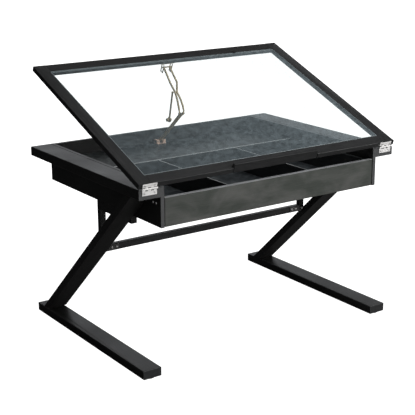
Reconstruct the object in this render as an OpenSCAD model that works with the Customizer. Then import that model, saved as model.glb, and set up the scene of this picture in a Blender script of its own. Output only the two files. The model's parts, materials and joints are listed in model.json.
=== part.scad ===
// Drafting table with a tilting glass-topped frame, a shallow storage well and one long drawer.
// Origin: on the floor under the middle of the table. +X right, +Y to the back, +Z up.
// The frame is drawn raised on its prop; the drawer is drawn shut.

/* [Table] */
// Width across the two side boards
table_w = 1220; // [1160:10:1300]
// Length of the side boards, front to back
table_d = 860; // [860:1:870]
// Height of the top of the side boards
board_top = 734; // [720:1:745]
// Width of each side board
board_w = 90; // [86:1:94]
// Thickness of each side board
board_t = 38; // [34:1:40]

/* [Case] */
// Height of the case sides
case_h = 155; // [150:1:158]
// Thickness of the case sides and back
panel_t = 15; // [14:0.5:15.5]
// Depth of the storage well below the side boards
well_depth = 61; // [60:0.5:62]
// Front edge of the well floor, measured from the middle of the table
well_y0 = 86; // [84:1:90]
// Thickness of the well floor
well_t = 12; // [9:1:14]

/* [Drawer] */
// Height of the drawer front
drawer_h = 111; // [105:1:111]
// Thickness of the drawer front
drawer_front_t = 18; // [15:1:20]
// Thickness of the drawer sides and back
drawer_side_t = 12; // [10:0.5:12]
// Thickness of the two dividers
divider_t = 6; // [4:1:8]
// Middle of the left divider
divider_left_x = -212; // [-240:1:-180]
// Middle of the right divider
divider_right_x = 174; // [160:1:200]

/* [Tilting frame] */
// Angle of the frame above level, as drawn
tilt = 21.7; // [21.5:0.1:21.9]
// Thickness of the frame rails
rail_t = 20; // [18:0.5:22]
// Width of the frame rails seen from above
rail_w = 50; // [46:1:54]
// Width of the lip that carries the glass
lip_w = 4; // [3:0.5:14]
// Thickness of the glass
glass_t = 6; // [5:0.5:6]
// How far the frame passes the side boards at each side
overhang = 3; // [1:1:5]
// Length of the pencil ledge
ledge_w = 406; // [300:2:450]
// Height of the pencil ledge
ledge_h = 37; // [32:1:40]

/* [Legs] */
// Slope of the legs above level
leg_angle = 42.6; // [42.2:0.1:43]
// Thickness of the sloping legs
leg_t = 30; // [28:1:32]
// Width of the sloping legs
leg_w = 82; // [78:1:84]
// Width of the feet
foot_w = 78; // [74:1:84]
// Thickness of the feet
foot_t = 35; // [32:1:38]
// Height of the rubber pads
pad_h = 5; // [4:0.5:6]
// Side of the braces under the case
brace_w = 26; // [24:1:28]
// Thickness of the post and the stretcher, front to back
brace_t = 22; // [20:1:24]
// Underside of the stretcher above the floor
stretcher_z = 365; // [350:1:380]
// Height of the stretcher
stretcher_h = 28; // [16:1:30]

/* [Prop] */
// Length of the lower arm between its pivots
arm_len = 231; // [230:0.5:232]
// Diameter of the bent wire of the upper arm
wire_d = 5; // [4:0.5:5]

/* [Hidden] */
$fn = 64;
chamfer = 1.5;
half_w = table_w / 2;
half_d = table_d / 2;
case_x = half_w - board_w;
case_in = case_x - panel_t;
case_z0 = board_top - case_h;
board_z0 = board_top - board_t;
foot_top = pad_h + foot_t;
foot_y0 = -half_d + 4;
foot_y1 = half_d + 17;
foot_x0 = half_w - 5 - foot_w;
leg_y0 = half_d - 80;
leg_run = 1 / tan(leg_angle);
leg_dy = leg_t / sin(leg_angle);
batten_z0 = case_z0 - 36;
batten_y0 = -half_d + 212;
post_y = 20;
well_z = board_top - well_depth;
back_y = half_d - panel_t;

// Tilting frame, drawn level and then turned about the hinge line
frame_gap = 1;
hinge_y = -half_d - 5;
hinge_z = board_top + frame_gap;
frame_x = half_w + overhang;
frame_y0 = -half_d + 0.5;
frame_y1 = half_d + 2.5;
frame_z0 = hinge_z;
frame_z1 = frame_z0 + rail_t;
lip_z = frame_z1 - glass_t - 0.5;
in_x = frame_x - rail_w;
in_y0 = frame_y0 + rail_w;
in_y1 = frame_y1 - rail_w;

// Drawer
drawer_y0 = -half_d + 1;
drawer_in_y0 = drawer_y0 + drawer_front_t;
drawer_y1 = well_y0 - 6;
drawer_z0 = case_z0 + 1;
drawer_z1 = drawer_z0 + drawer_h;
drawer_front_x = case_in - 3;
drawer_x = case_in - 13;
drawer_in_x = drawer_x - drawer_side_t;
drawer_floor_z = drawer_z0 + 12;
drawer_floor_t = 6;
runner_z0 = case_z0 + 21;
runner_h = 40;
runner_y0 = -half_d + 25;
runner_y1 = drawer_y1 - 5;

// Hinges
hinge_x = half_w - 43;
hinge_len = 60;
hinge_leaf_t = 2.5;
hinge_r = 3.5;
knuckle = hinge_len / 5;
hinge_screw_dx = 21;

// Prop: lower arm from the base pivot to the elbow, wire arm from the elbow to the hanger
base_y = 397;
base_z = well_z + 11;
hang_y = 384;
hang_z = board_top - 18;
hang_r = norm([hang_y - hinge_y, hang_z - hinge_z]);
hang_a = atan2(hang_z - hinge_z, hang_y - hinge_y) + tilt;
top_y = hinge_y + hang_r * cos(hang_a);
top_z = hinge_z + hang_r * sin(hang_a);
wire_len = 217;
span = norm([top_y - base_y, top_z - base_z]);
span_a = atan2(top_z - base_z, top_y - base_y);
arm_open = acos((arm_len * arm_len + span * span - wire_len * wire_len) / (2 * arm_len * span));
arm_a = span_a + arm_open;
elbow_y = base_y + arm_len * cos(arm_a);
elbow_z = base_z + arm_len * sin(arm_a);
wire_a = atan2(top_z - elbow_z, top_y - elbow_y);
arm_w = 14;
arm_t = 10;
wire_x0 = 10.75;
wire_x1 = 15;
catch_x = -18;
catch_u = 95.3;
catch_v = 10.7;
catch_len = 137.5;
catch_a = -77;
catch_y = elbow_y + catch_u * cos(wire_a) - catch_v * sin(wire_a);
catch_z = elbow_z + catch_u * sin(wire_a) + catch_v * cos(wire_a);

wood_black = [0.07, 0.07, 0.075];
wood_face = [0.17, 0.18, 0.17];
panel_dark = [0.16, 0.17, 0.18];
glass_tint = [0.75, 0.86, 0.88, 0.35];
zinc = [0.75, 0.75, 0.73];
steel = [0.6, 0.6, 0.6];
bronze = [0.45, 0.38, 0.25];
rubber = [0.05, 0.05, 0.05];

// Bars with slightly broken long edges, given by their two corners
module profile(a0, a1, b0, b1, c) {
    polygon([[a0 + c, b0], [a1 - c, b0], [a1, b0 + c], [a1, b1 - c],
        [a1 - c, b1], [a0 + c, b1], [a0, b1 - c], [a0, b0 + c]]);
}

module bar_x(x0, x1, y0, y1, z0, z1, c = chamfer) {
    translate([x0, 0, 0]) rotate([90, 0, 90])
        linear_extrude(x1 - x0) profile(y0, y1, z0, z1, c);
}

module bar_y(x0, x1, y0, y1, z0, z1, c = chamfer) {
    translate([0, y1, 0]) rotate([90, 0, 0])
        linear_extrude(y1 - y0) profile(x0, x1, z0, z1, c);
}

module bar_z(x0, x1, y0, y1, z0, z1, c = chamfer) {
    translate([0, 0, z0]) linear_extrude(z1 - z0) profile(x0, x1, y0, y1, c);
}

module box(x0, x1, y0, y1, z0, z1) {
    translate([x0, y0, z0]) cube([x1 - x0, y1 - y0, z1 - z0]);
}

module rod_x(x0, x1, y, z, d) {
    translate([x0, y, z]) rotate([0, 90, 0]) cylinder(h = x1 - x0, d = d);
}

module rod_y(x, y0, y1, z, d) {
    translate([x, y0, z]) rotate([-90, 0, 0]) cylinder(h = y1 - y0, d = d);
}

module rod_z(x, y, z0, z1, d) {
    translate([x, y, z0]) cylinder(h = z1 - z0, d = d);
}

// Round bar between two points, stopping short of each by a given gap
module wire(a, b, d, gap_a, gap_b) {
    v = b - a;
    translate(a) rotate([0, acos(v[2] / norm(v)), atan2(v[1], v[0])])
        translate([0, 0, gap_a]) cylinder(h = norm(v) - gap_a - gap_b, d = d);
}

module right_side() {
    mirror([1, 0, 0]) children();
}

module tilted() {
    translate([0, hinge_y, hinge_z]) rotate([tilt, 0, 0]) translate([0, -hinge_y, -hinge_z]) children();
}

// Feet and rubber pads
module floor_pads() color(rubber) {
    for (x = [-1, 1] * (foot_x0 + foot_w / 2), y = [foot_y0 + 32, foot_y1 - 100])
        rod_z(x, y, 0, pad_h, 50);
}

function foot_bolt_xs() = [case_x + 22, case_x + 60];
foot_bolt_y = leg_y0 + 8;

module foot() color(wood_black) difference() {
    bar_y(-foot_x0 - foot_w, -foot_x0, foot_y0, foot_y1, pad_h, foot_top);
    for (x = foot_bolt_xs()) {
        rod_z(-x, foot_bolt_y, pad_h - 1, foot_top + 1, 8.2);
        rod_z(-x, foot_bolt_y, pad_h - 1, pad_h + 6, 16.4);
    }
}

module foot_left() { foot(); }

module foot_right() { right_side() foot(); }

module foot_bolts() color(steel) {
    for (s = [-1, 1], x = foot_bolt_xs()) {
        rod_z(s * x, foot_bolt_y, pad_h + 2, pad_h + 6, 16);
        rod_z(s * x, foot_bolt_y, pad_h + 6, foot_top + 28, 8);
    }
}

// Sloping legs, from the back of the feet up to the front of the side boards
function leg_front_y(z) = leg_y0 - (z - foot_top) * leg_run;
function leg_mid_y(z) = leg_front_y(z) + leg_dy / 2;
function leg_bolt_zs() = [case_z0 + 11, case_z0 + 83];

module leg() color(wood_black) difference() {
    translate([-case_x - leg_w, 0, 0]) rotate([90, 0, 90]) linear_extrude(leg_w)
        polygon([[leg_front_y(foot_top), foot_top], [leg_front_y(foot_top) + leg_dy, foot_top],
            [leg_front_y(board_z0) + leg_dy, board_z0], [leg_front_y(board_z0), board_z0]]);
    for (z = leg_bolt_zs()) rod_x(-case_x - 36, -case_x + 1, leg_mid_y(z), z, 8.2);
    for (x = foot_bolt_xs()) rod_z(-x, foot_bolt_y, foot_top - 1, foot_top + 29, 8.2);
}

module leg_left() { leg(); }

module leg_right() { right_side() leg(); }

module leg_bolts() color(steel) {
    for (s = [0, 1], z = leg_bolt_zs()) mirror([s, 0, 0]) {
        rod_x(-case_in, -case_in + 3, leg_mid_y(z), z, 14);
        rod_x(-case_x - 35, -case_in, leg_mid_y(z), z, 8);
    }
}

// Braces under the case: batten, post and stretcher with flat steel plates
module batten_left() color(wood_black)
    bar_y(-case_x, -case_x + brace_w, batten_y0, post_y, batten_z0, case_z0);

module batten_right() color(wood_black)
    bar_y(case_x - brace_w, case_x, batten_y0, post_y, batten_z0, case_z0);

plate_z = stretcher_z + stretcher_h / 2;
function plate_screw_xs() = [case_x - brace_w / 2, case_x - brace_w - 22, case_x - brace_w - 44];

module post() color(wood_black) difference() {
    bar_z(-case_x, -case_x + brace_w, post_y, post_y + brace_t, stretcher_z, case_z0);
    rod_y(-plate_screw_xs()[0], post_y - 1, post_y + 14, plate_z, 4.1);
}

module post_left() { post(); }

module post_right() { right_side() post(); }

module stretcher() color(wood_black) difference() {
    bar_x(-case_x + brace_w, case_x - brace_w, post_y, post_y + brace_t,
        stretcher_z, stretcher_z + stretcher_h);
    for (s = [-1, 1], i = [1, 2]) rod_y(s * plate_screw_xs()[i], post_y - 1, post_y + 14, plate_z, 4.1);
}

module stretcher_plates() color(steel) {
    for (s = [0, 1]) mirror([s, 0, 0]) difference() {
        box(-case_x + 4, -case_x + 80, post_y - 2.5, post_y, plate_z - 13, plate_z + 12);
        for (x = plate_screw_xs()) rod_y(-x, post_y - 3, post_y + 1, plate_z, 4.2);
    }
}

module plate_screws() color(steel) {
    for (s = [-1, 1], x = plate_screw_xs()) {
        rod_y(s * x, post_y - 4.5, post_y - 2.5, plate_z, 9);
        rod_y(s * x, post_y - 2.5, post_y + 13, plate_z, 4);
    }
}

// Case: two sides, a back and the floor of the well
function panel_screw_ys() = [-half_d + 29, -half_d + 50];
panel_screw_z = case_z0 + 88;

module side_panel() color(wood_black) difference() {
    bar_y(-case_x, -case_in, -half_d, half_d, case_z0, board_top, 0.8);
    for (z = leg_bolt_zs()) rod_x(-case_x - 1, -case_in + 1, leg_mid_y(z), z, 8.2);
    for (y = panel_screw_ys()) rod_x(-case_x - 1, -case_x + 11, y, panel_screw_z, 4.1);
}

module side_panel_left() { side_panel(); }

module side_panel_right() { right_side() side_panel(); }

module panel_screws() color(zinc) {
    for (s = [0, 1], y = panel_screw_ys()) mirror([s, 0, 0]) {
        rod_x(-case_x - 2, -case_x, y, panel_screw_z, 9);
        rod_x(-case_x, -case_x + 10, y, panel_screw_z, 4);
    }
}

module rear_panel() color(panel_dark)
    bar_x(-case_in, case_in, back_y, half_d, case_z0, board_top, 0.8);

module well_floor() color(panel_dark)
    bar_x(-case_in, case_in, well_y0, back_y, well_z - well_t, well_z, 0.8);

hinge_screw_z = board_top - 15;

module side_board() color(wood_black) difference() {
    bar_y(-half_w, -case_x, -half_d, half_d, board_z0, board_top, 2.5);
    for (x = [-1, 1] * hinge_screw_dx) rod_y(-hinge_x + x, -half_d - 1, -half_d + 20, hinge_screw_z, 4.1);
}

module side_board_left() { side_board(); }

module side_board_right() { right_side() side_board(); }

// Drawer runners: the outer channel stays on the case, the inner one rides on the drawer
module channel(web_x, flange_x, z0, z1, y0, y1, t = 1.5) {
    box(min(web_x, web_x + t), max(web_x, web_x + t), y0, y1, z0, z1);
    box(min(web_x, flange_x), max(web_x, flange_x), y0, y1, z0, z0 + t);
    box(min(web_x, flange_x), max(web_x, flange_x), y0, y1, z1 - t, z1);
}

module runner_left() color(steel)
    channel(-case_in, -case_in + 10, runner_z0, runner_z0 + runner_h, runner_y0, runner_y1);

module runner_right() { right_side() runner_left(); }

module slide_left() color(steel)
    channel(-drawer_x - 1.5, -drawer_x - 10, runner_z0 + 3.5, runner_z0 + runner_h - 3.5,
        runner_y0, runner_y1);

module slide_right() { right_side() slide_left(); }

// Butt hinges at the front, one leaf on the side board and one on the frame
function knuckle_x(i) = -hinge_len / 2 + i * knuckle;

module hinge_leaf(xc, z0, z1, y0, own) {
    near_z = z0 < hinge_z ? z1 - 1 : z0 + 1;
    for (i = own) {
        difference() {
            rod_x(xc + knuckle_x(i) + 0.2, xc + knuckle_x(i + 1) - 0.2, hinge_y, hinge_z, 2 * hinge_r);
            rod_x(xc - hinge_len, xc + hinge_len, hinge_y, hinge_z, 4.1);
        }
        difference() {
            box(xc + knuckle_x(i) + 0.2, xc + knuckle_x(i + 1) - 0.2, y0, y0 + hinge_leaf_t,
                min(near_z, hinge_z), max(near_z, hinge_z));
            rod_x(xc - hinge_len, xc + hinge_len, hinge_y, hinge_z, 2 * hinge_r - 0.4);
        }
    }
    difference() {
        box(xc - hinge_len / 2, xc + hinge_len / 2, y0, y0 + hinge_leaf_t, z0, z1);
        for (x = [-1, 1] * hinge_screw_dx) rod_y(xc + x, y0 - 1, y0 + 4, (z0 + z1) / 2, 4.2);
    }
}

module hinge_board_leaves() color(zinc) {
    for (s = [-1, 1]) hinge_leaf(s * hinge_x, hinge_screw_z - 8, hinge_screw_z + 8,
        -half_d - hinge_leaf_t, [0, 2, 4]);
}

frame_screw_z = hinge_z + 12;

module hinge_frame_leaves() color(zinc) tilted() {
    for (s = [-1, 1]) hinge_leaf(s * hinge_x, frame_screw_z - 7, frame_screw_z + 7,
        frame_y0 - hinge_leaf_t, [1, 3]);
}

module hinge_pins() color(steel) {
    for (s = [-1, 1]) {
        rod_x(s * hinge_x - 30.5, s * hinge_x + 30.5, hinge_y, hinge_z, 4);
        for (e = [-1, 1]) rod_x(s * hinge_x + e * 31.5 - 1, s * hinge_x + e * 31.5 + 1, hinge_y, hinge_z, 6);
    }
}

module hinge_board_screws() color(steel) {
    for (s = [-1, 1], x = [-1, 1] * hinge_screw_dx) {
        rod_y(s * hinge_x + x, -half_d - 4, -half_d - 2.5, hinge_screw_z, 8);
        rod_y(s * hinge_x + x, -half_d - 2.5, -half_d + 19, hinge_screw_z, 4);
    }
}

module hinge_frame_screws() color(steel) tilted() {
    for (s = [-1, 1], x = [-1, 1] * hinge_screw_dx) {
        rod_y(s * hinge_x + x, frame_y0 - 4, frame_y0 - 2.5, frame_screw_z, 8);
        rod_y(s * hinge_x + x, frame_y0 - 2.5, frame_y0 + 19, frame_screw_z, 4);
    }
}

// Tilting frame: four rebated rails round a pane of glass
module frame_side_rail() color(wood_black) tilted() difference() {
    bar_y(-frame_x, -in_x + lip_w, frame_y0, frame_y1, frame_z0, frame_z1, 1);
    box(-in_x, -in_x + lip_w + 1, in_y0, in_y1, lip_z, frame_z1 + 1);
    rod_y(-hinge_x - hinge_screw_dx, frame_y0 - 1, frame_y0 + 20, frame_screw_z, 4.1);
}

module frame_left_rail() { frame_side_rail(); }

module frame_right_rail() { right_side() frame_side_rail(); }

module frame_front_rail() color(wood_black) tilted() difference() {
    bar_x(-in_x + lip_w, in_x - lip_w, frame_y0, in_y0 + lip_w, frame_z0, frame_z1, 1);
    box(-in_x, in_x, in_y0, in_y0 + lip_w + 1, lip_z, frame_z1 + 1);
    box(-ledge_w / 2 - 1, ledge_w / 2 + 1, frame_y0 - 1, frame_y0 + 15.5, frame_z0 - 1, frame_z1 + 1);
    for (s = [-1, 1]) rod_y(s * (hinge_x - hinge_screw_dx), frame_y0 - 1, frame_y0 + 20, frame_screw_z, 4.1);
}

function hanger_screw_ys() = [hang_y + 3, hang_y + 17];

module frame_rear_rail() color(wood_black) tilted() difference() {
    bar_x(-in_x + lip_w, in_x - lip_w, in_y1 - lip_w, frame_y1, frame_z0, frame_z1, 1);
    box(-in_x, in_x, in_y1 - lip_w - 1, in_y1, lip_z, frame_z1 + 1);
    for (x = [-29, 29], y = hanger_screw_ys()) rod_z(x, y, frame_z0 - 1, frame_z0 + 12, 4.1);
}

module glass_top() color(glass_tint) tilted()
    bar_z(-in_x + 1, in_x - 1, in_y0 + 1, in_y1 - 1, lip_z + 0.1, lip_z + 0.1 + glass_t, 3);

module glass_clip() color(rubber) tilted()
    bar_z(340, 352, in_y1 - 7, in_y1 + 11, frame_z1 + 0.05, frame_z1 + 2.5, 2);

// Pencil ledge, a bar that slides up in a notch in the front rail
module pencil_ledge() color(wood_face) tilted()
    bar_z(-ledge_w / 2, ledge_w / 2, frame_y0 - 0.5, frame_y0 + 15.2, frame_z0 + 1,
        frame_z0 + 1 + ledge_h, 4);

// Hanger under the rear rail; its slots let the cross bar of the wire arm float
module prop_hanger() color(bronze) tilted() {
    difference() {
        box(-34, 34, hang_y - 4, hang_y + 24, frame_z0 - 2.5, frame_z0);
        for (x = [-29, 29], y = hanger_screw_ys()) rod_z(x, y, frame_z0 - 3, frame_z0 + 1, 4.2);
    }
    for (s = [0, 1]) mirror([s, 0, 0]) difference() {
        box(20, 22.5, hang_y - 11, hang_y + 9, hang_z - 22.5, frame_z0 - 2.5);
        box(19, 24, hang_y - 6.6, hang_y + 4, hang_z - 18.5, hang_z + 15);
    }
}

module hanger_screws() color(bronze) tilted() {
    for (x = [-29, 29], y = hanger_screw_ys()) {
        rod_z(x, y, frame_z0 - 4, frame_z0 - 2.5, 7);
        rod_z(x, y, frame_z0 - 2.5, frame_z0 + 11, 4);
    }
}

// Prop: base, lower arm, bent wire arm and swinging catch
module prop_base() color(bronze) {
    box(-23, 23, base_y - 17, base_y + 15, well_z, well_z + 3);
    for (s = [0, 1]) mirror([s, 0, 0]) difference() {
        box(8.5, 23, base_y - 12, base_y + 12, well_z + 3, well_z + 18);
        rod_x(8, 24, base_y, base_z, 6.1);
    }
}

module prop_base_pin() color(steel) {
    rod_x(-24, 24, base_y, base_z, 6);
    for (s = [-1, 1]) rod_x(s * 24.5 - 0.7, s * 24.5 + 0.7, base_y, base_z, 9);
}

module prop_lower_arm() color(bronze)
    translate([0, base_y, base_z]) rotate([arm_a, 0, 0]) difference() {
        union() {
            box(-arm_w / 2, arm_w / 2, 0, arm_len, -arm_t / 2, arm_t / 2);
            rod_x(-arm_w / 2, arm_w / 2, 0, 0, 14);
            rod_x(-arm_w / 2, arm_w / 2, arm_len, 0, 14);
        }
        rod_x(-arm_w, arm_w, 0, 0, 6.1);
        rod_x(-arm_w, arm_w, arm_len, 0, 5.1);
        for (i = [0 : 6]) translate([0, arm_len - 120 + i * 9, -arm_t / 2]) rotate([45, 0, 0])
            box(-arm_w, arm_w, -1.8, 1.8, -1.8, 1.8);
    }

module elbow_pin() color(steel) {
    rod_x(-13.4, 13.4, elbow_y, elbow_z, 5);
    for (s = [-1, 1]) rod_x(s * 13.7 - 0.5, s * 13.7 + 0.5, elbow_y, elbow_z, 8);
}

function at_elbow(x, u, v) = [x, elbow_y + u * cos(wire_a) - v * sin(wire_a),
    elbow_z + u * sin(wire_a) + v * cos(wire_a)];

module wire_side(s) {
    p = [at_elbow(s * wire_x0, 5, 1), at_elbow(s * wire_x0, 49, 15),
        at_elbow(s * wire_x0, catch_u, catch_v), at_elbow(s * 13, 138, 15),
        at_elbow(s * wire_x1, wire_len, 0)];
    for (i = [0 : 3]) wire(p[i], p[i + 1], wire_d, i == 0 ? 0 : 0.8, i == 3 ? 0 : 0.8);
    for (i = [1 : 3]) translate(p[i]) sphere(d = wire_d + 0.6, $fn = 32);
    rod_x(s * wire_x0 - 2.25, s * wire_x0 + 2.25, elbow_y, elbow_z, 13);
}

module prop_wire_arm() color(bronze) difference() {
    union() {
        wire_side(-1);
        wire_side(1);
        rod_x(-27, 27, top_y, top_z, 6);
        rod_x(-22.4, -wire_x0, catch_y, catch_z, 4);
    }
    rod_x(-16, 16, elbow_y, elbow_z, 5.1);
}

module prop_catch() color(bronze)
    translate([catch_x, catch_y, catch_z]) rotate([catch_a, 0, 0]) difference() {
        union() {
            rod_x(-3.4, 3.4, 0, 0, 10);
            rod_y(0, 3, catch_len - 18, 0, 6);
            rod_x(-4.5, 8.5, catch_len - 12, 0, 24);
        }
        rod_x(-5, 4, 0, 0, 4.1);
        rod_x(-5, 9, catch_len - 12, 0, 6.1);
    }

module catch_knob() color(steel)
    translate([catch_x, catch_y, catch_z]) rotate([catch_a, 0, 0]) {
        rod_x(-4.5, 8, catch_len - 12, 0, 6);
        rod_x(-13, -4.5, catch_len - 12, 0, 15);
    }

// Drawer: front, two sides, back, floor and two dividers
module drawer_front() color(wood_face)
    bar_x(-drawer_front_x, drawer_front_x, drawer_y0, drawer_in_y0, drawer_z0, drawer_z1);

module drawer_side_left() color(panel_dark)
    bar_y(-drawer_x, -drawer_in_x, drawer_in_y0, drawer_y1, drawer_z0 + 8, drawer_z1 - 3, 0.8);

module drawer_side_right() { right_side() drawer_side_left(); }

module drawer_back() color(panel_dark)
    bar_x(-drawer_in_x, drawer_in_x, drawer_y1 - drawer_side_t, drawer_y1, drawer_z0 + 8, drawer_z1, 0.8);

module drawer_floor() color(panel_dark)
    box(-drawer_in_x, drawer_in_x, drawer_in_y0, drawer_y1 - drawer_side_t,
        drawer_floor_z, drawer_floor_z + drawer_floor_t);

module divider(x) color(panel_dark)
    bar_y(x - divider_t / 2, x + divider_t / 2, drawer_in_y0, drawer_y1 - drawer_side_t,
        drawer_floor_z + drawer_floor_t, drawer_z1 - 1, 0.8);

module divider_left() { divider(divider_left_x); }

module divider_right() { divider(divider_right_x); }

floor_pads();
foot_left();
foot_right();
foot_bolts();
leg_left();
leg_right();
leg_bolts();
batten_left();
batten_right();
post_left();
post_right();
stretcher();
stretcher_plates();
plate_screws();
side_panel_left();
side_panel_right();
rear_panel();
well_floor();
side_board_left();
side_board_right();
panel_screws();
runner_left();
runner_right();
hinge_board_leaves();
hinge_pins();
hinge_board_screws();
prop_base();
prop_base_pin();
frame_left_rail();
frame_right_rail();
frame_front_rail();
frame_rear_rail();
glass_top();
glass_clip();
hinge_frame_leaves();
hinge_frame_screws();
prop_hanger();
hanger_screws();
pencil_ledge();
drawer_front();
drawer_side_left();
drawer_side_right();
drawer_back();
drawer_floor();
divider_left();
divider_right();
slide_left();
slide_right();
prop_lower_arm();
elbow_pin();
prop_wire_arm();
prop_catch();
catch_knob();
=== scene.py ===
import json
import math

import bmesh
import bpy
from mathutils import Matrix, Vector


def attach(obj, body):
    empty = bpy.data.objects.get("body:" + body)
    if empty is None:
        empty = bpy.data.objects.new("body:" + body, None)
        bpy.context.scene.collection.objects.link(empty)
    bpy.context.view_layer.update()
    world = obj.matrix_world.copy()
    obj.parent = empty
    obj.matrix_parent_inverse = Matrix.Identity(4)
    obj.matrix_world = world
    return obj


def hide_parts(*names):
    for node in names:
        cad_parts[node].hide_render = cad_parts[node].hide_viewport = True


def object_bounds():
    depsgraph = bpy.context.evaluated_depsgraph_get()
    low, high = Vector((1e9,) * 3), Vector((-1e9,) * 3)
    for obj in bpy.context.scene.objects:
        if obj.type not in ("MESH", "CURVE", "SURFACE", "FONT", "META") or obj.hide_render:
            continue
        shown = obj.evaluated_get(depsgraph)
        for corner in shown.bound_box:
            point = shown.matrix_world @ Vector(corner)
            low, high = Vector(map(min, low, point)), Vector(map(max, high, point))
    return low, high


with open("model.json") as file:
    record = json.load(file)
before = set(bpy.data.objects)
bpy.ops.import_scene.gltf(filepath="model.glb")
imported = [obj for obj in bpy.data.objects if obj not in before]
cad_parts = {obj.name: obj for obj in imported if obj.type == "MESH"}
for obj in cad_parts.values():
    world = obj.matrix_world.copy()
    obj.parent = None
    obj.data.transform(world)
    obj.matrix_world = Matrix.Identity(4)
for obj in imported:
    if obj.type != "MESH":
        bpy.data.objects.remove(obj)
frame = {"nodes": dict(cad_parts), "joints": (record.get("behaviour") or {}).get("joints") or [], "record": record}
cad_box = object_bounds()

MM = 0.001
JOINTS = {joint["name"]: joint for joint in frame["joints"]}
BODY_OF = {n: body for body, nodes in frame["record"]["behaviour"]["bodies"].items() for n in nodes}
X, Y, Z = Vector((1, 0, 0)), Vector((0, 1, 0)), Vector((0, 0, 1))

# The ledge slides along the normal of the glass, which gives the frame's own directions
GLASS_UP = Vector(JOINTS["ledge_slide"]["axis"]).normalized()
GLASS_BACK = GLASS_UP.cross(X).normalized()
# The grain of the legs runs up and forward with them
LEG_SLOPE = math.radians(42.6)
LEG_ALONG = Vector((0, -math.cos(LEG_SLOPE), math.sin(LEG_SLOPE)))


# ---------------------------------------------------------------- materials

def add_node(tree, kind, **settings):
    """Adds a node of one kind to a node tree and gives it its settings."""
    made = tree.nodes.new(kind)
    for key, value in settings.items():
        setattr(made, key, value)
    return made


class Shader:
    """A material's node tree, with one short method for each kind of node that it needs."""

    def __init__(self, name):
        self.material = bpy.data.materials.new(name)
        self.material.use_nodes = True
        self.tree = self.material.node_tree
        self.tree.nodes.clear()
        self.output = self.node("ShaderNodeOutputMaterial")
        self.place = self.node("ShaderNodeTexCoord")

    def node(self, kind, **settings):
        return add_node(self.tree, kind, **settings)

    def put(self, socket, value):
        """Links an output to a socket, or sets the socket to a plain value."""
        if isinstance(value, bpy.types.NodeSocket):
            self.tree.links.new(value, socket)
        else:
            socket.default_value = value

    def along(self, axis, scale):
        """Object coordinates turned so that axis lies along X, then scaled."""
        turn = self.node("ShaderNodeMapping")
        turn.inputs["Rotation"].default_value = Vector(axis).rotation_difference(X).to_euler()
        self.put(turn.inputs["Vector"], self.place.outputs["Object"])
        stretch = self.node("ShaderNodeMapping")
        stretch.inputs["Scale"].default_value = scale
        self.put(stretch.inputs["Vector"], turn.outputs["Vector"])
        return stretch.outputs["Vector"]

    def noise(self, vector, scale=1.0, detail=4.0, rough=0.55, twist=0.0):
        made = self.node("ShaderNodeTexNoise")
        self.put(made.inputs["Vector"], vector)
        made.inputs["Scale"].default_value = scale
        made.inputs["Detail"].default_value = detail
        made.inputs["Roughness"].default_value = rough
        made.inputs["Distortion"].default_value = twist
        return made.outputs["Fac"]

    def span(self, value, low, high, out_low=0.0, out_high=1.0):
        made = self.node("ShaderNodeMapRange")
        self.put(made.inputs["Value"], value)
        limits = {"From Min": low, "From Max": high, "To Min": out_low, "To Max": out_high}
        for name, number in limits.items():
            made.inputs[name].default_value = number
        return made.outputs["Result"]

    def math(self, kind, a, b):
        made = self.node("ShaderNodeMath", operation=kind)
        self.put(made.inputs[0], a)
        self.put(made.inputs[1], b)
        return made.outputs["Value"]

    def sum(self, a, b):
        return self.math("ADD", a, b)

    def times(self, a, b):
        return self.math("MULTIPLY", a, b)

    def weighed(self, a, b, share):
        """A mean of two values in which the first has the given share."""
        return self.sum(self.times(a, share), self.times(b, 1 - share))

    def mixed(self, factor, first, second):
        """The output of a shader that goes from the first to the second as the factor goes from 0 to 1."""
        made = self.node("ShaderNodeMixShader")
        self.put(made.inputs[0], factor)
        self.put(made.inputs[1], first)
        self.put(made.inputs[2], second)
        return made.outputs["Shader"]

    def diffuse(self, colour):
        made = self.node("ShaderNodeBsdfDiffuse")
        self.put(made.inputs["Color"], colour)
        return made.outputs["BSDF"]

    def blend(self, factor, a, b):
        """A colour that goes from a to b as the factor goes from 0 to 1."""
        made = self.node("ShaderNodeMix", data_type="RGBA")
        self.put(made.inputs[0], factor)
        self.put(made.inputs[6], a)
        self.put(made.inputs[7], b)
        return made.outputs[2]

    def facing(self, way, sharp=0.9):
        """1 on faces that look along way in the object's own frame, and 0 elsewhere."""
        toward = self.node("ShaderNodeVectorMath", operation="DOT_PRODUCT")
        self.put(toward.inputs[0], self.place.outputs["Normal"])
        toward.inputs[1].default_value = way
        return self.span(toward.outputs["Value"], sharp, sharp + 0.05)

    def bump(self, height, strength, distance):
        made = self.node("ShaderNodeBump")
        self.put(made.inputs["Height"], height)
        made.inputs["Strength"].default_value = strength
        made.inputs["Distance"].default_value = distance
        return made.outputs["Normal"]

    def surface(self, **values):
        """A Principled shader with the sockets given by name, such as base_color."""
        made = self.node("ShaderNodeBsdfPrincipled")
        for key, value in values.items():
            self.put(made.inputs[key.replace("_", " ").title().replace("Ior", "IOR")], value)
        self.put(self.output.inputs["Surface"], made.outputs["BSDF"])
        return made


def grey(value, warm=0.0):
    """A neutral colour; warm above 0 leans to brown and below 0 to blue."""
    return (value * (1 + warm), value, value * (1 - warm), 1.0)


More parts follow.
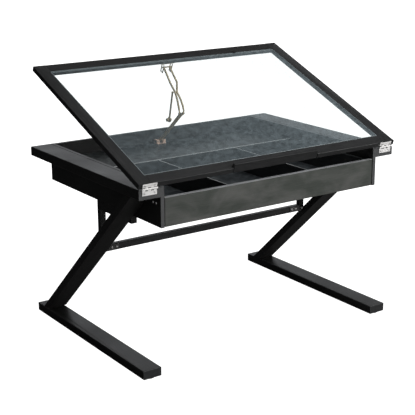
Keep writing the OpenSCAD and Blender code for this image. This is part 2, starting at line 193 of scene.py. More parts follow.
def stained_wood(name, axis, dark, light, rough=0.42, front=None, rubbed=0.0, top=None):
    """Stained open-grained wood: long pores, soft figure, and a satin coat that thins over the pores.
    front is a paler tone on the faces that look forward, which is painted light from the front lamps, rubbed is
    how strongly cloudy rubbed patches show, and top is a paler tone on the faces that look up, which is a painted
    highlight on the upper edge."""
    made = Shader(name)
    figure = made.noise(made.along(axis, (2.2, 16.0, 16.0)), 1.0, 5.0, 0.6, 1.2)
    pores = made.noise(made.along(axis, (14.0, 420.0, 420.0)), 1.0, 3.0, 0.65)
    smudge = made.noise(made.place.outputs["Object"], 5.0, 3.0, 0.5)
    streak = made.span(pores, 0.42, 0.68)
    tone = made.weighed(figure, streak, 0.55)
    colour = made.blend(tone, dark, light)
    # Faces that look forward get a paler tone: painted light from the front lamps.
    if front:
        colour = made.blend(made.facing(-Y), colour, made.blend(tone, *front))
    if rubbed:
        patch = made.noise(made.along(axis, (5.0, 9.0, 9.0)), 1.0, 4.0, 0.6, 0.6)
        colour = made.blend(made.span(patch, 0.42, 0.68, 0.0, rubbed), colour, grey(0.19, 0.03))
    # Faces that look up get a paler tone: a painted highlight.
    if top:
        colour = made.blend(made.facing(Z, 0.5), colour, made.blend(tone, *top))
    sheen = made.sum(made.span(smudge, 0.3, 0.7, rough - 0.05, rough + 0.06),
                     made.span(pores, 0.3, 0.7, -0.03, 0.05))
    made.surface(base_color=colour, roughness=sheen, specular_ior_level=0.42,
                 normal=made.bump(made.sum(pores, made.times(figure, 0.6)), 0.35, 0.0004))
    return made.material


def painted_panel(name, axis, dark, light, edge):
    """Drawer board: matt dark foil over board, with pale top edges that are a painted highlight."""
    made = Shader(name)
    fibre = made.noise(made.along(axis, (30.0, 160.0, 160.0)), 1.0, 4.0, 0.6)
    cloud = made.noise(made.place.outputs["Object"], 9.0, 4.0, 0.6)
    colour = made.blend(made.span(cloud, 0.35, 0.65), dark, light)
    # Top faces of the board take the pale tone: a painted highlight.
    edge_highlight = made.blend(made.span(fibre, 0.35, 0.6), edge, tuple(c * 0.7 for c in edge[:3]) + (1.0,))
    colour = made.blend(made.facing(Z), colour, edge_highlight)
    made.surface(base_color=colour, roughness=made.span(fibre, 0.3, 0.7, 0.5, 0.64),
                 specular_ior_level=0.35, normal=made.bump(fibre, 0.25, 0.0003))
    return made.material


def slate_board(name, dark, light):
    """The floors of the well and of the drawer: slate-grey board with cloudy patches and fine speckle."""
    made = Shader(name)
    place = made.place.outputs["Object"]
    cloud = made.noise(place, 7.0, 6.0, 0.62, 0.8)
    patch = made.noise(place, 42.0, 5.0, 0.65)
    speck = made.noise(place, 150.0, 2.0, 0.5)
    tone = made.weighed(made.span(cloud, 0.36, 0.66), made.span(patch, 0.4, 0.64), 0.5)
    colour = made.blend(made.math("POWER", tone, 1.7), dark, light)
    colour = made.blend(made.span(speck, 0.6, 0.75, 0.0, 0.1), colour, grey(0.2, -0.05))
    made.surface(base_color=colour, roughness=made.span(cloud, 0.3, 0.7, 0.46, 0.62),
                 specular_ior_level=0.4, normal=made.bump(patch, 0.1, 0.0004))
    return made.material


def plated_metal(name, bright, dull, rough, tarnish_scale=60.0, metallic=1.0):
    """Plated or bronzed steel with drawn lines, tarnish patches and small pits."""
    made = Shader(name)
    lines = made.noise(made.along(X, (40.0, 1400.0, 1400.0)), 1.0, 2.0, 0.5)
    patch = made.noise(made.place.outputs["Object"], tarnish_scale, 5.0, 0.65, 0.4)
    colour = made.blend(made.span(patch, 0.38, 0.66), bright, dull)
    gloss = made.sum(made.span(patch, 0.3, 0.7, rough - 0.07, rough + 0.12),
                     made.span(lines, 0.3, 0.7, -0.04, 0.05))
    made.surface(base_color=colour, metallic=metallic, roughness=gloss,
                 normal=made.bump(made.sum(lines, patch), 0.18, 0.0002))
    return made.material


def rubber(name, tone):
    """Moulded rubber with a fine matt tooth and scuffs."""
    made = Shader(name)
    tooth = made.noise(made.place.outputs["Object"], 1300.0, 2.0, 0.5)
    scuff = made.noise(made.place.outputs["Object"], 70.0, 4.0, 0.6)
    made.surface(base_color=made.blend(made.span(scuff, 0.45, 0.7), grey(tone), grey(tone * 2.2, 0.03)),
                 roughness=made.span(scuff, 0.3, 0.7, 0.72, 0.88), specular_ior_level=0.3,
                 normal=made.bump(tooth, 0.4, 0.0003))
    return made.material


def clear_glass(name):
    """Clear float glass: what is behind it shows through, each face mirrors more at a low angle,
    and a thin cloudy film on it, thicker toward the right, catches a little cool light; this film is a painted
    reflection of the dull grey that the pane mirrors over the well."""
    made = Shader(name)
    place = made.place.outputs["Object"]
    slant = made.node("ShaderNodeLayerWeight")
    slant.inputs["Blend"].default_value = 0.5
    mirror = made.span(made.math("POWER", slant.outputs["Facing"], 5.0), 0.0, 1.0, 0.04, 1.0)
    film = made.noise(place, 3.0, 3.0, 0.5)
    smear = made.noise(made.along(X, (38.0, 55.0, 55.0)), 1.0, 5.0, 0.75, 0.5)
    clear = made.node("ShaderNodeBsdfTransparent")
    made.put(clear.inputs["Color"], made.blend(film, (0.975, 0.99, 0.985, 1.0), (0.985, 0.995, 0.992, 1.0)))
    gloss = made.node("ShaderNodeBsdfGlossy")
    made.put(gloss.inputs["Roughness"], made.span(film, 0.35, 0.7, 0.01, 0.05))
    pane = made.mixed(mirror, clear.outputs["BSDF"], gloss.outputs["BSDF"])
    apart = made.node("ShaderNodeSeparateXYZ")
    made.put(apart.inputs[0], place)
    # A cloudy film, more of it toward the right, mixed over the pane: a painted reflection.
    reflection_share = made.times(made.span(smear, 0.34, 0.66, 0.022, 0.104),
                       made.span(apart.outputs["X"], -0.55, 0.55, 0.82, 1.75))
    painted_reflection = made.diffuse((0.55, 0.66, 0.72, 1.0))
    made.put(made.output.inputs["Surface"], made.mixed(reflection_share, pane, painted_reflection))
    return made.material


def ground_edge(name):
    """The seamed border of the pane, where the glass shows its pale blue-green body."""
    made = Shader(name)
    grind = made.noise(made.place.outputs["Object"], 260.0, 3.0, 0.6)
    colour = made.blend(made.span(grind, 0.35, 0.65), (0.17, 0.20, 0.21, 1.0), (0.28, 0.32, 0.335, 1.0))
    made.surface(base_color=colour, roughness=made.span(grind, 0.3, 0.7, 0.25, 0.45), specular_ior_level=0.5,
                 normal=made.bump(grind, 0.15, 0.0002))
    return made.material


# Pale top faces of the drawer back and dividers: a painted highlight.
TOP_EDGE_HIGHLIGHT = grey(0.42, -0.01)
# Each pair of tones is the darkest and the lightest that a surface shows
BLACK = (grey(0.007, 0.06), grey(0.028, 0.0))
# A paler copy of the black wood, cool in its light tone, for the frame's front and side rails, the ledge and the
# stretcher: painted light; the rear rail keeps the darker wood.
LIT_FRAME_BLACK = (grey(0.01), grey(0.042, -0.02))
FRONT_FACE = ((0.038, 0.043, 0.038, 1.0), (0.072, 0.078, 0.070, 1.0))
# Paler, cool tones for the forward-looking faces of the case and the feet: painted light from the front lamps.
CASE_FRONT_LIGHT = (grey(0.056, -0.02), grey(0.1, -0.02))
FOOT_FRONT_LIGHT = (grey(0.02, -0.03), grey(0.044, -0.03))
# Paler, cool tone of the drawer front's top face: a painted highlight.
TOP_HIGHLIGHT = (grey(0.2, -0.02), grey(0.36, -0.03))
DARK_FOIL = (grey(0.016, -0.06), grey(0.03, -0.06))

WOOD_ALONG = {"x": X, "y": Y, "z": Z, "leg": LEG_ALONG}
WOOD = {k: stained_wood("stained_wood_" + k, v, *BLACK) for k, v in WOOD_ALONG.items()}
# Paler, cool wood for the rounded edges: a painted edge highlight.
LIT_EDGE_WOOD = stained_wood("painted_edge_highlight", Y, grey(0.034, -0.02), grey(0.085, -0.02), rough=0.5)
FRAME_X = stained_wood("stained_wood_front_rail", X, *LIT_FRAME_BLACK)
FRAME_SIDE = stained_wood("stained_wood_side_rail", GLASS_BACK, *LIT_FRAME_BLACK)
FOOT = stained_wood("stained_wood_foot", Y, *BLACK, front=FOOT_FRONT_LIGHT)
CASE = stained_wood("stained_wood_case", Y, *BLACK, front=CASE_FRONT_LIGHT)
FACE = stained_wood("grey_stained_face", X, *FRONT_FACE, rough=0.4, rubbed=0.35, top=TOP_HIGHLIGHT)
PANEL_BACK = painted_panel("drawer_back_board", X, *DARK_FOIL, TOP_EDGE_HIGHLIGHT)
PANEL_DIVIDER = painted_panel("drawer_divider_board", Y, *DARK_FOIL, TOP_EDGE_HIGHLIGHT)
PANEL_SIDE = painted_panel("drawer_side_board", Y, *DARK_FOIL, DARK_FOIL[1])
SLATE = slate_board("slate_board", (0.004, 0.005, 0.006, 1.0), (0.085, 0.094, 0.092, 1.0))
# A paler copy of the slate for the drawer floor: painted light that falls on it through the glass.
LIT_DRAWER_SLATE = slate_board("lit_drawer_slate_board", (0.02, 0.023, 0.026, 1.0), (0.12, 0.13, 0.14, 1.0))
# Plated metal given a near-white, almost matt colour: the plating's blown highlight, painted into its colour.
HIGHLIT_ZINC = plated_metal("highlit_zinc_plate", grey(0.97, 0.012), grey(0.8, 0.02), 0.42,
                    tarnish_scale=160.0, metallic=0.15)
STEEL = plated_metal("dull_steel", grey(0.3, 0.01), grey(0.14, 0.02), 0.42)
BRIGHT_SCREW = plated_metal("bright_screw", grey(0.85, 0.01), grey(0.6, 0.02), 0.3, metallic=0.6)
BRONZE = plated_metal("antique_bronze", (0.74, 0.58, 0.34, 1.0), (0.46, 0.35, 0.19, 1.0), 0.42,
                      tarnish_scale=120.0, metallic=0.2)
COPPER = plated_metal("pale_copper", (0.95, 0.68, 0.54, 1.0), (0.76, 0.50, 0.38, 1.0), 0.45,
                      tarnish_scale=160.0, metallic=0.1)
RUBBER = rubber("moulded_rubber", 0.012)
GLASS = clear_glass("clear_glass")
GLASS_EDGE = ground_edge("ground_glass_edge")


# ---------------------------------------------------------------- carried-over CAD nodes

def finish_nodes(names, material, round_by, edge_highlight=None):
    """Gives CAD nodes their material and rounds their edges by some millimetres, with a paler material on the
    rounded edges as a painted edge highlight.
    """
    for name in names:
        node = frame["nodes"][name]
        node.data.materials.clear()
        node.data.materials.append(material)
        for polygon in node.data.polygons:
            polygon.material_index = 0
        if not round_by:
            continue
        weld = node.modifiers.new("weld", "WELD")
        weld.merge_threshold = 0.01 * MM
        edges = node.modifiers.new("round edges", "BEVEL")
        edges.width = round_by * MM
        edges.segments = 2
        edges.limit_method = "ANGLE"
        edges.angle_limit = math.radians(35)
        # The rounded edges take the painted highlight material.
        if edge_highlight:
            node.data.materials.append(edge_highlight)
            edges.material = 1


# Stand
finish_nodes(["side_panel_left", "side_panel_right", "side_board_left", "side_board_right"], CASE, 0.7, LIT_EDGE_WOOD)
finish_nodes(["rear_panel"], WOOD["x"], 0.7, LIT_EDGE_WOOD)
finish_nodes(["batten_left", "batten_right"], WOOD["y"], 0.7, LIT_EDGE_WOOD)
finish_nodes(["post_left", "post_right"], WOOD["z"], 0.7, LIT_EDGE_WOOD)
finish_nodes(["leg_left", "leg_right"], WOOD["leg"], 0.7, LIT_EDGE_WOOD)
finish_nodes(["foot_left", "foot_right"], FOOT, 1.6, LIT_EDGE_WOOD)
finish_nodes(["stretcher"], FRAME_X, 0.7, LIT_EDGE_WOOD)
finish_nodes(["well_floor"], SLATE, 0)
finish_nodes(["stretcher_plates", "foot_bolts", "leg_bolts", "runner_left", "runner_right"], STEEL, 0.3)
finish_nodes(["floor_pads"], RUBBER, 0.8)

# Tabletop
finish_nodes(["frame_rear_rail"], WOOD["x"], 0.7, LIT_EDGE_WOOD)
finish_nodes(["frame_front_rail"], FRAME_X, 0.7, LIT_EDGE_WOOD)
finish_nodes(["frame_left_rail", "frame_right_rail"], FRAME_SIDE, 0.7, LIT_EDGE_WOOD)
finish_nodes(["pencil_ledge"], FRAME_X, 0.8, LIT_EDGE_WOOD)
finish_nodes(["hinge_board_leaves", "hinge_frame_leaves", "hinge_pins"], HIGHLIT_ZINC, 0.3)
finish_nodes(["glass_clip"], RUBBER, 0.8)

# Drawer
finish_nodes(["drawer_front"], FACE, 1.3)
finish_nodes(["drawer_side_left", "drawer_side_right"], PANEL_SIDE, 0.4)
finish_nodes(["divider_left", "divider_right"], PANEL_DIVIDER, 0.4)
finish_nodes(["drawer_back"], PANEL_BACK, 0.4)
finish_nodes(["drawer_floor"], LIT_DRAWER_SLATE, 0)
finish_nodes(["slide_left", "slide_right"], STEEL, 0.3)

# Prop
finish_nodes(["prop_base"], COPPER, 0.8)
finish_nodes(["prop_hanger", "catch_knob"], BRONZE, 0.4)
finish_nodes(["prop_base_pin", "elbow_pin"], STEEL, 0.3)


# ---------------------------------------------------------------- building blocks for new pieces

def mesh_object(name, bm, material, smooth=35.0):
    """A new object from a bmesh, smooth shaded except over sharp edges."""
    mesh = bpy.data.meshes.new(name)
    bm.to_mesh(mesh)
    bm.free()
    mesh.materials.append(material)
    mesh.shade_smooth()
    mesh.set_sharp_from_angle(angle=math.radians(smooth))
    made = bpy.data.objects.new(name, mesh)
    bpy.context.scene.collection.objects.link(made)
    return made


def curve_mesh(curve):
    """The surface of a curve as a bmesh. The curve's own object is taken away again."""
    holder = bpy.data.objects.new(curve.name, curve)
    bpy.context.scene.collection.objects.link(holder)
    ready = holder.evaluated_get(bpy.context.evaluated_depsgraph_get())
    mesh = bpy.data.meshes.new_from_object(ready)
    bpy.data.objects.remove(holder)
    bm = bmesh.new()
    bm.from_mesh(mesh)
    bpy.data.meshes.remove(mesh)
    return bm


def add_part(bm, part):
    """Adds one bmesh to another, and frees it."""
    mesh = bpy.data.meshes.new("part")
    part.to_mesh(mesh)
    part.free()
    bm.from_mesh(mesh)
    bpy.data.meshes.remove(mesh)


def lathe(bm, profile, steps=32, place=Matrix()):
    """Turns a list of (radius, height) about Z; a radius of 0 closes an end."""
    rings = []
    for radius, height in profile:
        if radius == 0:
            rings.append([bm.verts.new(place @ Vector((0, 0, height)))])
            continue
        turns = [2 * math.pi * i / steps for i in range(steps)]
        rings.append([bm.verts.new(place @ Vector((radius * math.cos(t), radius * math.sin(t), height)))
                      for t in turns])
    for low, high in zip(rings, rings[1:]):
        for i in range(steps):
            j = (i + 1) % steps
            if len(low) == 1:
                bm.faces.new((low[0], high[j], high[i]))
            elif len(high) == 1:
                bm.faces.new((low[i], low[j], high[0]))
            else:
                bm.faces.new((low[i], low[j], high[j], high[i]))


def facing(point, direction):
    """A matrix that puts Z along direction at a point."""
    return Matrix.Translation(point) @ direction.to_track_quat("Z", "Y").to_matrix().to_4x4()


def turned(point, *directions):
    """A matrix that puts X, Y and Z along three directions at a point."""
    return Matrix.Translation(point) @ Matrix(directions).transposed().to_4x4()


def points_of(name):
    """The vertices of a CAD node."""
    return [vert.co.copy() for vert in frame["nodes"][name].data.vertices]


def islands(name):
    """The vertices of each separate solid of a CAD node, as lists of points."""
    bm = bmesh.new()
    bm.from_mesh(frame["nodes"][name].data)
    bmesh.ops.remove_doubles(bm, verts=bm.verts, dist=0.01 * MM)
    seen, found = set(), []
    for first in bm.verts:
        if first in seen:
            continue
        seen.add(first)
        queue, group = [first], []
        while queue:
            vert = queue.pop()
            group.append(vert.co.copy())
            for edge in vert.link_edges:
                other = edge.other_vert(vert)
                if other not in seen:
                    seen.add(other)
                    queue.append(other)
        found.append(group)
    bm.free()
    return found


def middle(points):
    """The middle of the box round some points."""
    return Vector([(min(p[k] for p in points) + max(p[k] for p in points)) / 2 for k in range(3)])


def screw_head(points, outward):
    """The middle of the outer face of a screw's head, and the head's radius."""
    reach = max(p.dot(outward) for p in points)
    head = [p for p in points if p.dot(outward) > reach - 0.2 * MM]
    centre = middle(head)
    return centre, max((p - centre).length for p in head)


def cross_tool(bm, radius, depth, arm):
    """A cross of two bars that taper downward, to be cut out of the top of a screw's head."""
    for turn in (0, math.pi / 2):
        spin = Matrix.Rotation(turn, 4, "Z")
        corners = [(-arm, -radius), (arm, -radius), (arm, radius), (-arm, radius)]
        top = [bm.verts.new(spin @ Vector((x, y, depth))) for x, y in corners]
        bottom = [bm.verts.new(spin @ Vector((x * 0.5, y * 0.45, -depth))) for x, y in corners]
        bm.faces.new(top)
        bm.faces.new(reversed(bottom))
        for i in range(4):
            j = (i + 1) % 4
            bm.faces.new((top[j], top[i], bottom[i], bottom[j]))


def cut(target, tool):
    """Cuts the tool out of the target and removes it. The tool may pass through itself."""
    change = target.modifiers.new("cut", "BOOLEAN")
    change.operation = "DIFFERENCE"
    change.solver = "EXACT"
    change.use_self = True
    change.object = tool
    ready = target.evaluated_get(bpy.context.evaluated_depsgraph_get())
    mesh = bpy.data.meshes.new_from_object(ready)
    target.modifiers.clear()
    target.data = mesh
    bpy.data.objects.remove(tool)


def cross_head_master():
    """One screw of unit head radius, top at Z 0: a domed head with a cross recess."""
    dome, head_deep, neck_r, neck_deep = 0.42, 0.46, 0.45, 0.9
    arc = [(math.sin(math.radians(a)), dome * (math.cos(math.radians(a)) - 1)) for a in range(12, 91, 13)]
    bm = bmesh.new()
    profile = [(0, 0)] + arc + [(0.97, -head_deep), (neck_r, -head_deep), (neck_r, -neck_deep),
                                (0, -neck_deep)]
    lathe(bm, profile, 28)
    bmesh.ops.recalc_face_normals(bm, faces=bm.faces)
    head = mesh_object("screw_master", bm, BRIGHT_SCREW)
    bm = bmesh.new()
    cross_tool(bm, radius=0.62, depth=0.22, arm=0.13)
    bmesh.ops.recalc_face_normals(bm, faces=bm.faces)
    bmesh.ops.triangulate(bm, faces=bm.faces)
    cut(head, mesh_object("screw_tool", bm, BRIGHT_SCREW))
    return head


def screw_part(master, centre, radius, outward, turn=0.0):
    """A copy of the master screw, a little proud of the plain head that it stands for."""
    part = bmesh.new()
    part.from_mesh(master.data)
    spin = Matrix.Rotation(turn, 4, "Z")
    part.transform(facing(centre + outward * 0.2 * radius, outward) @ spin @ Matrix.Scale(radius, 4))
    return part


def cross_head_screws(node, outward, material, master):
    """Replaces a node's plain screws by domed cross-head ones on plain shanks, each turned its own way."""
    first_turn, next_turn = 0.7, 1.9
    bm = bmesh.new()
    for index, points in enumerate(islands(node)):
        centre, radius = screw_head(points, outward)
        part = screw_part(master, centre, radius, outward, first_turn + next_turn * index)
        heights = [p.dot(outward) for p in points]
        tip, under_head = min(heights) - max(heights), -0.3 * radius
        shank = [(0, tip), (radius * 0.4, tip + 2 * MM), (radius * 0.45, under_head), (0, under_head)]
        lathe(part, shank, 20, facing(centre, outward))
        bmesh.ops.recalc_face_normals(part, faces=part.faces)
        add_part(bm, part)
    made = mesh_object(node + "_cross_head", bm, material)
    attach(made, BODY_OF[node])
    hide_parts(node)


def panel_screw_heads(master):
    """The case screws look out to the left and to the right; their shanks are hidden in the wood."""
    bm = bmesh.new()
    for points in islands("panel_screws"):
        outward = -X if middle(points).x < 0 else X
        centre, radius = screw_head(points, outward)
        add_part(bm, screw_part(master, centre, radius, outward))
    made = mesh_object("panel_screws_cross_head", bm, HIGHLIT_ZINC)
    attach(made, "stand")
    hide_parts("panel_screws")


def plate(name, outlines, thickness, edge, place, material):
    """A flat plate with rounded edges from closed 2D outlines; inner outlines are holes."""
    curve = bpy.data.curves.new(name, "CURVE")
    curve.dimensions = "2D"
    curve.fill_mode = "BOTH"
    curve.extrude = thickness / 2 - edge
    curve.bevel_depth = edge
    curve.bevel_resolution = 2
    curve.offset = -edge
    for outline in outlines:
        spline = curve.splines.new("POLY")
        spline.points.add(len(outline) - 1)
        for point, (u, v) in zip(spline.points, outline):
            point.co = (u, v, 0, 1)
        spline.use_cyclic_u = True
    bm = curve_mesh(curve)
    bmesh.ops.remove_doubles(bm, verts=bm.verts, dist=0.002 * MM)
    bm.transform(place)
    bmesh.ops.recalc_face_normals(bm, faces=bm.faces)
    return mesh_object(name, bm, material, 40)


def circle(u, v, radius, steps=32, start=0.0, sweep=360.0):
    """Points on a circle, or on an arc when sweep is under 360 degrees."""
    whole = sweep >= 360
    count = steps if whole else steps + 1
    angles = [math.radians(start + sweep * i / steps) for i in range(count)]
    return [(u + radius * math.cos(a), v + radius * math.sin(a)) for a in angles]


def joined(name, objects):
    """One new object made of the given ones, with the first one's material."""
    bm = bmesh.new()
    material = objects[0].data.materials[0]
    for part in objects:
        bm.from_mesh(part.data)
        bpy.data.objects.remove(part)
    return mesh_object(name, bm, material, 40)


# ---------------------------------------------------------------- screws

master = cross_head_master()
cross_head_screws("hinge_board_screws", -Y, BRIGHT_SCREW, master)
cross_head_screws("hinge_frame_screws", -GLASS_BACK, BRIGHT_SCREW, master)
cross_head_screws("plate_screws", -Y, BRIGHT_SCREW, master)
cross_head_screws("hanger_screws", -GLASS_UP, BRONZE, master)
panel_screw_heads(master)
bpy.data.objects.remove(master)


# ---------------------------------------------------------------- pane of glass

def glass_pane():
    """The pane with a seamed border and arrissed edges, on the CAD pane's own rectangle."""
    seam, corner, least_corner, arris = 2.6 * MM, 4.0 * MM, 0.5 * MM, 0.8 * MM
    place = turned(Vector(), X, GLASS_BACK, GLASS_UP)
    flat = [place.transposed() @ point for point in points_of("glass_top")]
    centre = middle(flat)
    half_x, half_y, half_thick = Vector([max(p[k] for p in flat) for k in range(3)]) - centre
    place = place @ Matrix.Translation(centre)

    def ring(inset, height):
        radius = max(corner - inset, least_corner)
        across, deep = half_x - inset - radius, half_y - inset - radius
        spots = []
        for quarter, (u, v) in enumerate(((1, 1), (-1, 1), (-1, -1), (1, -1))):
            spots += circle(u * across, v * deep, radius, 6, 90 * quarter, 90)
        return [bm.verts.new(place @ Vector((u, v, height))) for u, v in spots]

    bm = bmesh.new()
    rings = [ring(seam, half_thick), ring(arris, half_thick), ring(0, half_thick - arris),
             ring(0, -half_thick + arris), ring(arris, -half_thick), ring(seam, -half_thick)]
    bm.faces.new(rings[0])
    bm.faces.new(list(reversed(rings[-1])))
    count = len(rings[0])
    for upper, lower in zip(rings, rings[1:]):
        for i in range(count):
            j = (i + 1) % count
            bm.faces.new((upper[i], lower[i], lower[j], upper[j])).material_index = 1
    bmesh.ops.recalc_face_normals(bm, faces=bm.faces)
    made = mesh_object("glass_pane", bm, GLASS, 20)
    made.data.materials.append(GLASS_EDGE)
    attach(made, "tabletop")
    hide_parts("glass_top")


glass_pane()


# ---------------------------------------------------------------- prop

ELBOW = Vector(JOINTS["prop_elbow"]["pos_m"])
BASE_PIVOT = Vector(JOINTS["prop_base_pivot"]["pos_m"])
CATCH_PIVOT = Vector(JOINTS["catch_pivot"]["pos_m"])


def cross_bar_centre():
    """The middle of the cross bar at the top of the wire arm, from the ends that stick out furthest."""
    points = points_of("prop_wire_arm")
    reach = max(p.x for p in points)
    return middle([p for p in points if abs(p.x) > reach - 0.1 * MM])


def filleted(points, size):
    """Adds a point a little before and after each inner one, so that a smooth curve turns sharply there."""
    made = [points[0]]
    for before, corner, after in zip(points, points[1:], points[2:]):
        made += [corner + (before - corner).normalized() * size, corner,
                 corner + (after - corner).normalized() * size]
    return made + [points[-1]]


def bent_wire_arm():
    """Two bent wires with eyes round the elbow pin, joined by a cross bar that rides in the hanger.
    The bends are given in millimetres: outward from the middle, up from the elbow, and forward."""
    shoulder, belly, neck = (11, 26, 12), (8.4, 60, 15), (4.8, 95.3, 10.9)
    kink, shank = (17, 138, 15), (15.5, 180, 7.5)
    eye_wire, thick_wire, eye_r, eye_out, top_out = 2.5 * MM, 4.4 * MM, 4.6 * MM, 10.75 * MM, 15 * MM
    top = cross_bar_centre()
    along = (top - ELBOW).normalized()
    forward = X.cross(along).normalized()
    curve = bpy.data.curves.new("wire", "CURVE")
    curve.dimensions = "3D"
    curve.bevel_depth = eye_wire
    curve.bevel_resolution = 5
    curve.resolution_u = 10
    curve.use_fill_caps = True
    for side in (-1, 1):
        turns = [math.radians(t) for t in range(-150, 91, 24)]
        route = [Vector((eye_out, eye_r * math.cos(t), eye_r * math.sin(t))) for t in turns]
        bends = [Vector(bend) * MM for bend in (shoulder, belly, neck, kink, shank)]
        end = Vector((top_out, (top - ELBOW).length, 0))
        route += filleted([route[-1]] + bends + [end], 6 * MM)[1:]
        spline = curve.splines.new("NURBS")
        spline.points.add(len(route) - 1)
        for point, (x, u, v) in zip(spline.points, route):
            point.co = (*(ELBOW + X * side * x + along * u + forward * v), 1)
            point.radius = 1.0 if u < 3 * eye_r else thick_wire / eye_wire
        spline.order_u = 3
        spline.use_endpoint_u = True
    bm = curve_mesh(curve)
    half, bar_r, edge = 27.0 * MM, 3.0 * MM, 1.0 * MM
    bar = [(0, -half), (bar_r - edge, -half), (bar_r, -half + edge), (bar_r, half - edge),
           (bar_r - edge, half), (0, half)]
    lathe(bm, bar, 24, facing(top, X))
    stub_r, stub, edge = 2.0 * MM, 20.0 * MM, 0.6 * MM
    catch_stub = [(0, 0), (stub_r, 0), (stub_r, stub), (stub_r - edge, stub + edge), (0, stub + edge)]
    lathe(bm, catch_stub, 20, facing(Vector((-2 * MM, CATCH_PIVOT.y, CATCH_PIVOT.z)), -X))
    made = mesh_object("bent_wire_arm", bm, BRONZE, 50)
    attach(made, "prop_wire")
    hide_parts("prop_wire_arm")


def swing_catch():
    """The catch: a flat bar from its eye on the wire arm down to a round end that holds the knob."""
    knob = middle(points_of("catch_knob"))
    boss_end = max(p.x for p in points_of("prop_catch"))
    eye = CATCH_PIVOT
    along = Vector((0, knob.y - eye.y, knob.z - eye.z))
    length = along.length
    along.normalize()
    place = turned(eye, along, X.cross(along).normalized(), X)
    bar_t, bar_half, eye_r, disc_r = 4.4 * MM, 4.2 * MM, 5.2 * MM, 12.0 * MM
    eye_hole, knob_hole, boss_r, edge = 2.1 * MM, 3.05 * MM, 7.0 * MM, 0.6 * MM
    disc_end = 180 - math.degrees(math.asin(bar_half / disc_r))
    eye_end = math.degrees(math.asin(bar_half / eye_r))
    outline = circle(0, 0, eye_r, 24, eye_end, 360 - 2 * eye_end)
    outline += circle(length, 0, disc_r, 32, -disc_end, 2 * disc_end)
    holes = [circle(0, 0, eye_hole, 20), circle(length, 0, knob_hole, 20)]
    bar = plate("catch_bar", [outline] + holes, bar_t, 0.5 * MM, place, BRONZE)
    start = eye.x + bar_t / 2
    boss = boss_end - start
    ring = [(knob_hole, 0), (boss_r, 0), (boss_r, boss - edge), (boss_r - edge, boss),
            (knob_hole, boss), (knob_hole, 0)]
    bm = bmesh.new()
    lathe(bm, ring, 28, facing(Vector((start, knob.y, knob.z)), X))
    bmesh.ops.remove_doubles(bm, verts=bm.verts, dist=0.002 * MM)
    bmesh.ops.recalc_face_normals(bm, faces=bm.faces)
    made = joined("swing_catch", [bar, mesh_object("catch_boss", bm, BRONZE)])
    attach(made, BODY_OF["prop_catch"])
    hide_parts("prop_catch")


def channel_arm():
    """The lower arm as a folded channel: two cheeks with round ends and a notched edge, and a web."""
    along = (ELBOW - BASE_PIVOT).normalized()
    up = X.cross(along).normalized()
    length = (ELBOW - BASE_PIVOT).length
    end_r, cheek_t, half_wide, half_deep, taper = 6.8 * MM, 1.8 * MM, 7.0 * MM, 5.0 * MM, 14 * MM
    notches, notch_step, notch_deep, first_notch = 7, 9.0 * MM, 2.4 * MM, length - 120 * MM
    outline = circle(length, 0, end_r, 24, -90, 180)
    outline += [(length - taper, half_deep), (taper, half_deep)]
    outline += circle(0, 0, end_r, 24, 90, 180)
    outline += [(taper, -half_deep)]
    for i in range(notches):
        u = first_notch + i * notch_step
        outline += [(u - notch_deep, -half_deep), (u, -half_deep + notch_deep), (u + notch_deep, -half_deep)]
    outline += [(length - taper, -half_deep)]
    base_hole, elbow_hole = 3.1 * MM, 2.6 * MM
    holes = [circle(0, 0, base_hole, 24), circle(length, 0, elbow_hole, 24)]
    parts = []
    for side in (-1, 1):
        place = turned(BASE_PIVOT + X * side * (half_wide - cheek_t / 2), along, up, X)
        parts.append(plate("cheek", [outline] + holes, cheek_t, 0.35 * MM, place, BRONZE))
    start, web_t, web_half = 10 * MM, 1.8 * MM, half_wide - cheek_t * 0.6
    web = [(start, -web_half), (length - start, -web_half), (length - start, web_half), (start, web_half)]
    place = turned(BASE_PIVOT + up * (half_deep - web_t / 2), along, X, up)
    parts.append(plate("web", [web], web_t, 0.3 * MM, place, BRONZE))
    made = joined("channel_arm", parts)
    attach(made, "prop_arm")
    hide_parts("prop_lower_arm")


bent_wire_arm()
swing_catch()
channel_arm()


# ---------------------------------------------------------------- stage, lights and camera

def studio_floor():
    """A pale floor that fades to white away from the table, and gives little light back to it."""
    half_side, fade_to, glow = 40, 2.4, 1.5
    look = Shader("pale_floor")
    place = look.place.outputs["Object"]
    pale = look.diffuse(look.blend(look.noise(place, 60.0, 3.0, 0.5), grey(0.86), grey(0.9)))
    white = look.node("ShaderNodeEmission")
    white.inputs["Strength"].default_value = glow
    distance = look.node("ShaderNodeVectorMath", operation="LENGTH")
    look.put(distance.inputs[0], place)
    fade = look.span(distance.outputs["Value"], 0.0, fade_to, 0.72, 1.0)
    seen = look.mixed(fade, pale, white.outputs["Emission"])
    ray = look.node("ShaderNodeLightPath")
    look.put(look.output.inputs["Surface"],
             look.mixed(ray.outputs["Is Camera Ray"], look.diffuse(grey(0.06)), seen))
    bm = bmesh.new()
    bmesh.ops.create_grid(bm, x_segments=8, y_segments=8, size=half_side)
    made = mesh_object("studio_floor", bm, look.material)
    made.location.z = cad_box[0].z - 0.2 * MM


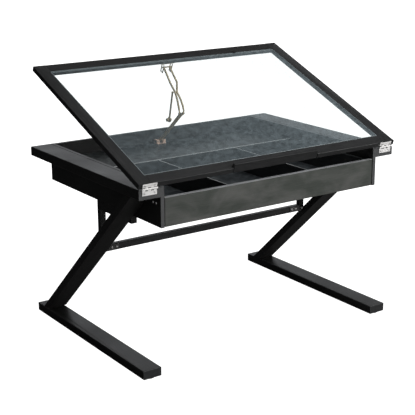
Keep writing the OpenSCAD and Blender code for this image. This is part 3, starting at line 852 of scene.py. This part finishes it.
def studio_air():
    """White behind everything; a bright band low behind the table lights it and shows in its tops."""
    world = bpy.data.worlds.new("studio")
    bpy.context.scene.world = world
    world.use_nodes = True
    tree = world.node_tree
    tree.nodes.clear()
    way = add_node(tree, "ShaderNodeTexCoord").outputs["Generated"]
    behind = add_node(tree, "ShaderNodeVectorMath", operation="DOT_PRODUCT")
    tree.links.new(way, behind.inputs[0])
    behind.inputs[1].default_value = Vector((0.5, 0.86, 0.05)).normalized()
    band = add_node(tree, "ShaderNodeMapRange", interpolation_type="SMOOTHSTEP")
    tree.links.new(behind.outputs["Value"], band.inputs["Value"])
    for name, number in {"From Min": 0.78, "From Max": 0.99, "To Min": 0.035, "To Max": 0.95}.items():
        band.inputs[name].default_value = number
    shown = add_node(tree, "ShaderNodeBackground")
    shown.inputs["Color"].default_value = (0.94, 0.965, 1.0, 1.0)
    tree.links.new(band.outputs["Result"], shown.inputs["Strength"])
    white = add_node(tree, "ShaderNodeBackground")
    white.inputs["Strength"].default_value = 1.5
    ray = add_node(tree, "ShaderNodeLightPath")
    either = add_node(tree, "ShaderNodeMixShader")
    tree.links.new(ray.outputs["Is Camera Ray"], either.inputs[0])
    tree.links.new(shown.outputs["Background"], either.inputs[1])
    tree.links.new(white.outputs["Background"], either.inputs[2])
    tree.links.new(either.outputs["Shader"], add_node(tree, "ShaderNodeOutputWorld").inputs["Surface"])


def softbox(name, place, target, width, height, power, mirrored=True):
    """A rectangular area light that looks at a point. Glossy surfaces can be kept from mirroring it."""
    light = bpy.data.lights.new(name, "AREA")
    light.shape = "RECTANGLE"
    light.size, light.size_y = width, height
    light.energy = power
    made = bpy.data.objects.new(name, light)
    made.location = place
    made.rotation_euler = (Vector(target) - Vector(place)).to_track_quat("-Z", "Y").to_euler()
    made.visible_glossy = mirrored
    bpy.context.scene.collection.objects.link(made)


def camera():
    """The viewpoint: to the left of the table's front, a little above it, through a short tele lens."""
    place = Vector((-2.4676, -3.5378, 1.7154))
    azimuth, elevation, roll = math.radians(-34.676), math.radians(16.117), math.radians(-0.306)
    lens = bpy.data.cameras.new("camera")
    lens.sensor_width = 36.0
    lens.lens = 92.73
    made = bpy.data.objects.new("camera", lens)
    look = Vector((-math.sin(azimuth) * math.cos(elevation), math.cos(azimuth) * math.cos(elevation),
                   -math.sin(elevation)))
    turn = look.to_track_quat("-Z", "Y").to_matrix() @ Matrix.Rotation(roll, 3, "Z")
    made.matrix_world = Matrix.Translation(place) @ turn.to_4x4()
    bpy.context.scene.collection.objects.link(made)
    bpy.context.scene.camera = made


studio_floor()
studio_air()
softbox("overhead", (0.4, -0.9, 3.5), (0, 0, 0.3), width=3.0, height=2.4, power=68, mirrored=False)
softbox("front_right", (2.6, -3.4, 1.9), (0, 0, 0.5), width=2.4, height=1.8, power=70)
softbox("low_front", (0.1, -3.2, 0.2), (0, -0.4, 0.65), width=2.6, height=0.8, power=52, mirrored=False)
softbox("left", (-3.2, -1.6, 1.3), (-0.4, 0, 0.5), width=1.6, height=1.6, power=5, mirrored=False)
softbox("right", (3.6, 1.2, 1.4), (0.4, 0, 0.5), width=2.0, height=1.6, power=50, mirrored=False)
softbox("behind", (0.6, 3.8, 1.5), (0, 0.3, 0.5), width=2.6, height=1.6, power=60, mirrored=False)
camera()
bpy.context.scene.view_settings.view_transform = "Standard"
